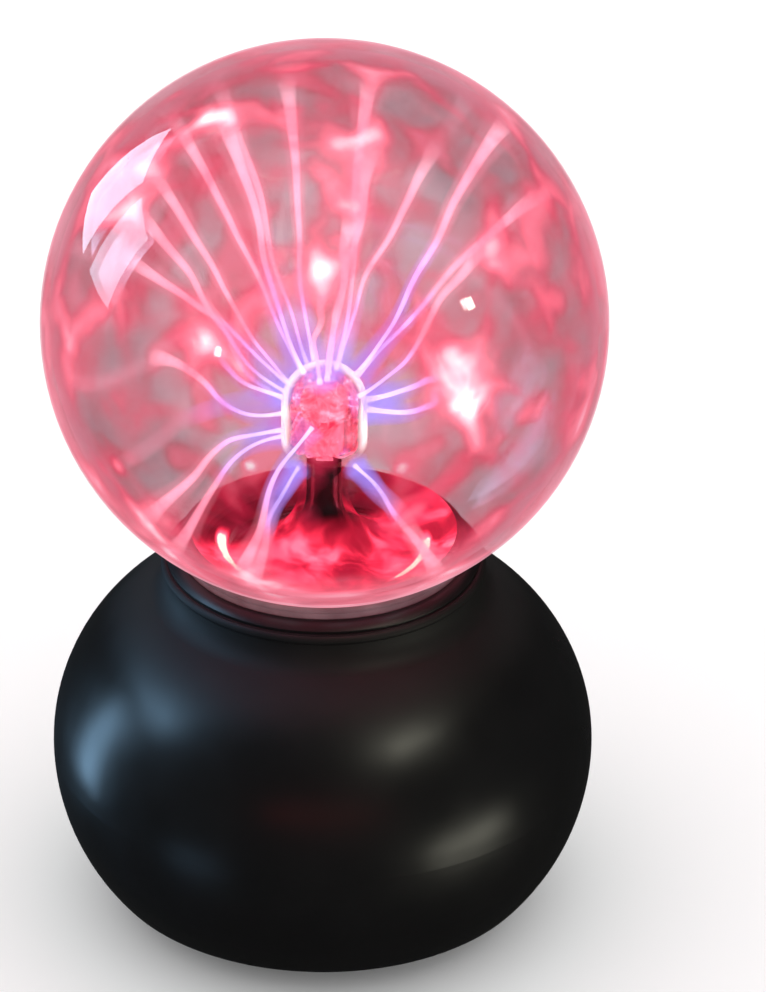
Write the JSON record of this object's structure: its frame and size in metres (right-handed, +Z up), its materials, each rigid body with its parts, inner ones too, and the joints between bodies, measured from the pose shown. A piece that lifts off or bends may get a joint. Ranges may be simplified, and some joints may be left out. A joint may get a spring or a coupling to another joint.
{
  "type": "plasma ball",
  "caption": "Plasma ball: a sealed glass globe with a central electrode on a squat round black base, with a rear switch and power inlet and a battery bay underneath.",
  "frame": {"origin": "centre of the plane that the feet stand on", "axes": "+Z up through the globe's centre, +Y to the rear where the switch and the inlet are, +X to the right seen from the front"},
  "size_m": [0.09, 0.09, 0.15],
  "materials": {
    "globe_glass": "gloss",
    "stem_glass": "gloss",
    "electrode_wool": "satin",
    "brass": "satin",
    "gasket": "satin",
    "black_gloss": "satin gloss",
    "black_matte": "matte",
    "black_inner": "matte",
    "cells": "satin",
    "plated_steel": "satin",
    "screws": "satin",
    "rubber": "matte",
    "board": "satin",
    "ferrite": "matte",
    "winding": "gloss",
    "white_insulation": "satin",
    "red_insulation": "satin",
    "black_insulation": "satin",
    "chip": "matte",
    "heat_sink": "satin",
    "capacitors": "satin",
    "film_capacitor": "gloss",
    "resistors": "satin"
  },
  "bodies": {
    "housing": {"globe_glass": "globe_glass", "electrode_stem": "stem_glass", "exhaust_tip": "stem_glass", "electrode_wool": "electrode_wool", "contact_cap": "brass", "globe_gasket": "gasket", "globe_collar": "black_gloss", "globe_cup": "black_inner", "base_shell": "black_gloss", "bottom_cover": "black_matte", "battery_tray": "black_inner", "battery_cells": "cells", "battery_springs": "plated_steel", "battery_plates": "plated_steel", "rubber_feet": "rubber", "cover_screws": "screws", "circuit_board": "board", "board_screws": "screws", "ferrite_core": "ferrite", "transformer_bobbin": "black_inner", "primary_winding": "winding", "secondary_winding": "winding", "high_voltage_lead": "white_insulation", "power_transistor": "chip", "heat_sink": "heat_sink", "heat_sink_screw": "screws", "heat_sink_nut": "screws", "filter_capacitors": "capacitors", "film_capacitor": "film_capacitor", "control_chip": "chip", "resistors": "resistors", "switch_body": "black_inner", "switch_bracket": "plated_steel", "switch_screws": "screws", "power_jack": "black_matte", "jack_pin": "brass", "jack_nut": "plated_steel", "switch_leads": "red_insulation", "jack_leads": "black_insulation", "battery_leads": "red_insulation"},
    "switch": {"switch_knob": "black_matte"},
    "door": {"battery_door": "black_matte"}
  },
  "joints": [
    {"name": "switch_slide", "type": "slide", "parent": "housing", "child": "switch", "axis": [-0.9511, 0.309, 0], "range_m": [0, 0.004]},
    {"name": "battery_door_hinge", "type": "hinge", "parent": "housing", "child": "door", "pos_m": [-0.0256, 0, 0.0021], "axis": [0, 1, 0], "range_deg": [0, 75]}
  ]
}
